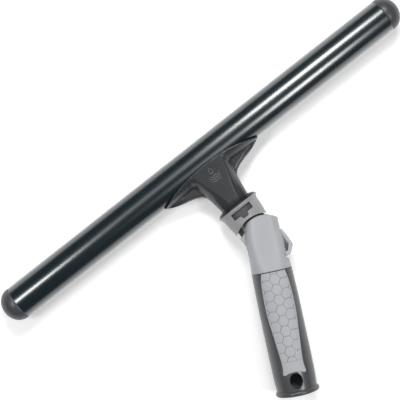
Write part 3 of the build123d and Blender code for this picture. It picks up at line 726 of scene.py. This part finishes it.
turn = np.sin(np.linspace(-1, 1, 161) * np.pi / 2)[:, None]
crown = np.sqrt(FORK_ARC**2 - (CROWN_HALF * turn) ** 2)
up = np.linspace(0, 1, 150)[None] ** 0.9
fork_y = FORK_FOOT + (crown - FORK_FOOT) * up
fork_half = np.where(turn < 0, through(FORK_LEFT, fork_y), through(FORK_RIGHT, fork_y))
power = through(FORK_ROUND, fork_y)
from_top = np.clip((crown - fork_y) / FORK_EDGE, 0, 1)
from_foot = np.clip((fork_y - FORK_FOOT) / FOOT_EDGE, 0, 1)
easing = (1 - 0.07 * (1 - from_top) ** 2) * (1 - 0.03 * (1 - from_foot) ** 2)
fork_z = through(FORK_DEPTH, fork_y) * np.clip(1 - np.abs(turn) ** power, 0, 1) ** (1 / power) * easing
fork_z = fork_z - CREASE_SLOPE * np.clip(turn * fork_half - CREASE, 0, None) * (1 - np.abs(turn) ** 6)
fork_x = turn * fork_half
fork_form = slab("fork_form", on_grip(fork_x, fork_y, fork_z), on_grip(fork_x, fork_y, -fork_z))

# %% Fork cuts
FORK_GAP = 7.5
FORK_POCKET = 17.2
SLOT_FLOOR = -9.0
LEVER_WINDOW = 10.4
WINDOW_FLOOR = -19.1

lip_angle = np.arcsin(-SLOT_FLOOR / FORK_POCKET)
rim_angle = np.linspace(np.pi + lip_angle, 2 * np.pi - lip_angle, 41)
pocket = FORK_POCKET * np.stack([np.cos(rim_angle), np.sin(rim_angle)], -1)
slot = np.concatenate([[(-30, 32), (-30, SLOT_FLOOR)], pocket, [(30, SLOT_FLOOR), (30, 32)]])
cut(fork_form, prism("slot", on_grip, slot, -FORK_GAP, FORK_GAP))
window = [(11.3, 10.5), (30, 10.5), (30, WINDOW_FLOOR), (6.6, WINDOW_FLOOR), (6.6, -15.5)]
cut(fork_form, prism("window", on_grip, rounded(window, 0.6), -LEVER_WINDOW, LEVER_WINDOW))

SHELL_GAP = 0.06
SHELL_SCREWS = (-9.5, 9.5)
SHELL_SEAT = (-23.5, -12.6)
half = 40.0 * np.array([(-1, -1), (1, -1), (1, 1), (-1, 1)])
shells = {}
for side, node in ((1, "fork_shell_front"), (-1, "fork_shell_rear")):
    shell = fork_form.copy()
    shell.data = fork_form.data.copy()
    shell.name = node + "_skin"
    bpy.context.scene.collection.objects.link(shell)
    low, high = sorted((side * SHELL_GAP, side * 30.0))
    cut(shell, prism("half", on_grip, half, low, high), "INTERSECT")
    shells[side] = shell
bpy.data.objects.remove(fork_form)
for side in SHELL_SCREWS:
    seat = (side, SHELL_SEAT[0])
    cut(shells[-1], prism("shell_recess", on_grip, HEAD_RECESS * ring + seat, PAST_THE_BACK, SHELL_SEAT[1]))
finish_piece(shells[1], light_nylon, "light_nylon", "handle", "fork_shell_front")
finish_piece(shells[-1], light_nylon, "light_nylon", "handle", "fork_shell_rear")

# %% [markdown]
# ## The thumb lever
# The lever is a bent strip with two arms beside the tongue and a pad across them. The rear arm is the
# broader one. Three flat prisms with rounded edges are joined.

# %% Lever
LEVER_PIVOT = np.array([13.2, -14.6])
LEVER_TOP = [(14.3, 8.8), (16.1, 8.8), (17.5, 6.4), (19.6, 2.4), (21.5, -2.1), (23.4, -6.8)]
LEVER_FOOT = [
    (22.0, -10.2), (20.1, -13.7), (18.7, -15.6), (13.2, -17.0), (11.2, -15.9), (11.2, -13.4), (13.2, -12.2),
]
FRONT_INSIDE = [(17.6, -11.8), (19.6, -5.3), (17.2, -0.3), (14.3, 5.5)]
REAR_INSIDE = [(16.6, -11.8), (16.6, -8.0), (16.0, -0.3), (14.3, 5.5)]
PAD_INSIDE = [(17.6, -11.8), (19.3, -6.6)]
PAD_TOP = [(22.2, -3.7), (23.4, -6.8)]
PAD_HALF = 9.9
ARM_OUTSIDE = 10.2
ARM_WIDTH = 2.4
LEVER_ROUND = 0.9
LEVER_EDGE = 0.4
PIN_HOLE = 1.55
pad_outline = rounded(PAD_TOP + LEVER_FOOT + PAD_INSIDE, LEVER_ROUND, steps=4)
lever = prism("lever_moulding", on_grip, pad_outline, -PAD_HALF, PAD_HALF, edge=LEVER_EDGE)
for low, inside in ((ARM_OUTSIDE - ARM_WIDTH, FRONT_INSIDE), (-ARM_OUTSIDE, REAR_INSIDE)):
    arm_outline = rounded(LEVER_TOP + LEVER_FOOT + inside, LEVER_ROUND, steps=4)
    cut(lever, prism("arm", on_grip, arm_outline, low, low + ARM_WIDTH, edge=LEVER_EDGE), "UNION")
cut(lever, prism("pin_hole", on_grip, LEVER_PIVOT + PIN_HOLE * ring, -12, 12))
finish_piece(lever, light_nylon, "light_nylon", "lever", "lock_lever")

# %% [markdown]
# ## The grip
# The grip is turned, with a rolled bead at its mouth, and the oval lock hole is cut through its
# front. The two soft panels lie on it: their outline is wider in the middle, and a honeycomb of
# shallow grooves is pressed into their faces.

# %% Grip body
GRIP_SIDE = [
    (-135.4, 18.45), (-133.5, 18.5), (-130.0, 18.7), (-122, 19.05),
    (-112, 19.15), (-84, 19.2), (-52, 19.1), (-27, 18.5),
]
BEAD = 2.4
BEAD_OUTSIDE = 20.1
SLEEVE_OUTER = 13.4
SLEEVE_END = -69.7
CORE_RADIUS = 12
CORE_END = -30
SPIGOT_RADIUS = 14
SPIGOT_TOP = -20.3
GRIP_TOP = -27
LOCK_HOLE = -126.5
OVAL_ACROSS = 5.8
OVAL_ALONG = 7.1
OVAL_BEVEL = 1.5

rise = np.linspace(GRIP_SIDE[0][0], GRIP_TOP, 90)
side_line = np.stack([through(GRIP_SIDE, rise), rise], -1)[::-1]
bead_turn = np.linspace(0.42 * np.pi, -0.5 * np.pi, 18)
bead_radius = BEAD_OUTSIDE - BEAD + BEAD * np.cos(bead_turn)
bead_line = np.stack([bead_radius, -GRIP_LENGTH + BEAD * (1 + np.sin(bead_turn))], -1)
mouth = [(SLEEVE_OUTER + 0.6, -GRIP_LENGTH), (SLEEVE_OUTER, -GRIP_LENGTH + 0.6)]
hollow = [(SLEEVE_OUTER, SLEEVE_END), (CORE_RADIUS, SLEEVE_END), (CORE_RADIUS, CORE_END - 4), (8, CORE_END)]
top = [(0, CORE_END), (0, SPIGOT_TOP), (SPIGOT_RADIUS, SPIGOT_TOP), (SPIGOT_RADIUS, GRIP_TOP)]
core = hollow + top
grip = turned("grip_moulding", on_grip, np.concatenate([side_line, bead_line, mouth, core]))
oval_height = np.array([4, 18.0, 21.0])[:, None]
oval_grow = np.array([0, 0, OVAL_BEVEL])[:, None]
oval_x = (OVAL_ACROSS + oval_grow) * np.cos(circle)
oval_y = LOCK_HOLE + (OVAL_ALONG + oval_grow) * np.sin(circle)
oval_points = on_grip(oval_x, oval_y, oval_height + 0 * oval_grow)
oval_ends = [list(range(len(circle))), list(range(2 * len(circle), 3 * len(circle)))]
cut(grip, mesh_piece("oval", oval_points, grid_faces(3, len(circle), around=True) + oval_ends))

# %% Grip panels
PANEL_EDGE = [
    (-118.4, 10.5), (-116.5, 10.1), (-112, 9.65), (-103, 10.0), (-93, 10.9), (-82, 11.8),
    (-72, 12.8), (-61, 13.35), (-50.7, 13.3), (-40, 12.75), (-35, 12.3), (-27.3, 10.9),
]
PANEL_TOP = -27.3
HOLLOW_HALF = 7.6
HOLLOW_EDGE = -118.2
HORN_TIP = -120.2
HORN_AT = 8.6
FOOT_HALF = 10.3
PANEL_RISE = 0.25
PANEL_SINK = 1.6
GROOVE_DEPTH = 0.28
GROOVE_HALF = 0.55
LINE_HALF = 0.45
CELL_ACROSS = 8.1
CELL_UP = 9.4
CELL_FIRST = -34.0
BAND_LINE = -108.7


def panel_foot(x):
    """The panel's lower edge: a hollow round the lock hole between two small horns."""
    x = np.abs(x)
    fall = (1 - np.sqrt(np.clip(1 - (x / HOLLOW_HALF) ** 2, 0, 1))) ** 0.8
    hollow_line = HOLLOW_EDGE + (HORN_TIP - HOLLOW_EDGE) * fall
    horn_line = HORN_TIP + 0.25 * (x - HORN_AT) ** 2
    return np.where(x < HOLLOW_HALF, hollow_line, horn_line)


def honeycomb(x, y):
    """The distance in millimetres from the nearest edge of a honeycomb cell: half the difference
    between the distances to the two nearest centres, measured across the edge between them."""
    nearest = np.full(np.broadcast(x, y).shape, 1e9)
    second = nearest.copy()
    for column in range(-2, 3):
        for row in range(-1, 11):
            dx = x - column * CELL_ACROSS
            dy = y - (CELL_FIRST - (row + 0.5 * (column % 2)) * CELL_UP)
            far = dx**2 + dy**2
            second = np.minimum(second, np.maximum(nearest, far))
            nearest = np.minimum(nearest, far)
    return (second - nearest) / (2 * CELL_UP)


def grip_panel(name, side):
    """A panel on the grip's front or back: its relief stands on the grip's own curve."""
    u = np.linspace(-1, 1, 91)[:, None]
    v = np.linspace(0, 1, 281)[None]
    foot = panel_foot(FOOT_HALF * u)
    y = foot + (PANEL_TOP - foot) * v
    half = through(PANEL_EDGE, y)
    x = u * half
    inwards = np.minimum(np.minimum(half - np.abs(x), y - foot), (PANEL_TOP - y) + 0.8)
    border = np.clip(inwards / 0.9, 0, 1)
    cells = np.exp(-((honeycomb(x, y) / GROOVE_HALF) ** 2)) * (y > BAND_LINE + 0.6)
    line = np.exp(-(((y - BAND_LINE) / LINE_HALF) ** 2))
    groove = np.maximum(cells, line) * np.clip((inwards - 0.3) / 0.5, 0, 1)
    lift = PANEL_RISE * np.sqrt(1 - (1 - border) ** 2) - GROOVE_DEPTH * groove
    body = through(GRIP_SIDE, y)
    top = on_grip(x, y, side * np.sqrt((body + lift) ** 2 - x**2))
    bottom = on_grip(x, y, side * np.sqrt((body - PANEL_SINK) ** 2 - x**2))
    panel = slab(name, top, bottom)
    return panel, top, groove


for side, node in ((1, "grip_panel_front"), (-1, "grip_panel_rear")):
    panel, top, groove = grip_panel(node + "_honeycomb", side)
    # The groove mask goes on the points, where the rubber reads it as painted shade in the grooves.
    shade = panel.data.attributes.new("groove", "FLOAT", "POINT")
    place = np.empty(len(panel.data.vertices) * 3, np.float32)
    panel.data.vertices.foreach_get("co", place)
    count = top.shape[0] * top.shape[1]
    values = np.zeros(len(panel.data.vertices), np.float32)
    values[:count] = groove.ravel()
    shade.data.foreach_set("value", values)
    finish_piece(panel, grip_rubber.material, "grip_rubber", "handle", node)
finish_piece(grip, handle_plastic, "handle", "handle", "handle_body")

# %% [markdown]
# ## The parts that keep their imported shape
# The plug, the latch, the seals, the pins, screws and springs have the right shape already, so they
# only get a finish.

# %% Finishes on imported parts
PACKED = {
    "clip_plug": black_nylon,
    # The seals are black to fill the notch between the collar and the fork, where shade falls: painted shade.
    "swivel_seals": black_nylon,
    # The sleeve's lighter colour is painted light in the shaded lock hole.
    "pole_socket_sleeve": sleeve_plastic_painted_light,
    "head_latch": latch_plastic,
    "pivot_washers": washer_plastic,
    "brake_shoe": brake_rubber,
    "pivot_bush": brass,
    "pivot_pin": steel,
    "lever_pin": steel,
    "lever_spring": steel,
    "latch_spring": steel,
    "backing_plate": steel,
    "bracket_screws": steel,
    "neck_screws": steel,
    "shell_screws": steel,
}
for node, material in PACKED.items():
    part = frame["nodes"][node]
    part.data.materials.clear()
    part.data.materials.append(material)
print("packed parts with a finish:", len(PACKED))

# %% [markdown]
# ## The table
# The table is a plain white sheet a hair under the lowest point of the tool.

# %% Table
table_height = cad_box[0][2] - TABLE_GAP
TABLE_HALF = 3.0
corner = TABLE_HALF * np.array([[-1, -1], [1, -1], [1, 1], [-1, 1]])
table_data = bpy.data.meshes.new("table")
table_data.from_pydata([(x, y, table_height) for x, y in corner], [], [(0, 1, 2, 3)])
table = bpy.data.objects.new("table", table_data)
bpy.context.scene.collection.objects.link(table)
table_glow = {"Emission_Color": (1, 1, 1, 1), "Emission_Strength": 0.28}
table_paint = Finish("table_white", (0.90, 0.90, 0.90), 0.9, Specular_IOR_Level=0.2, **table_glow)
table_data.materials.append(table_paint.material)
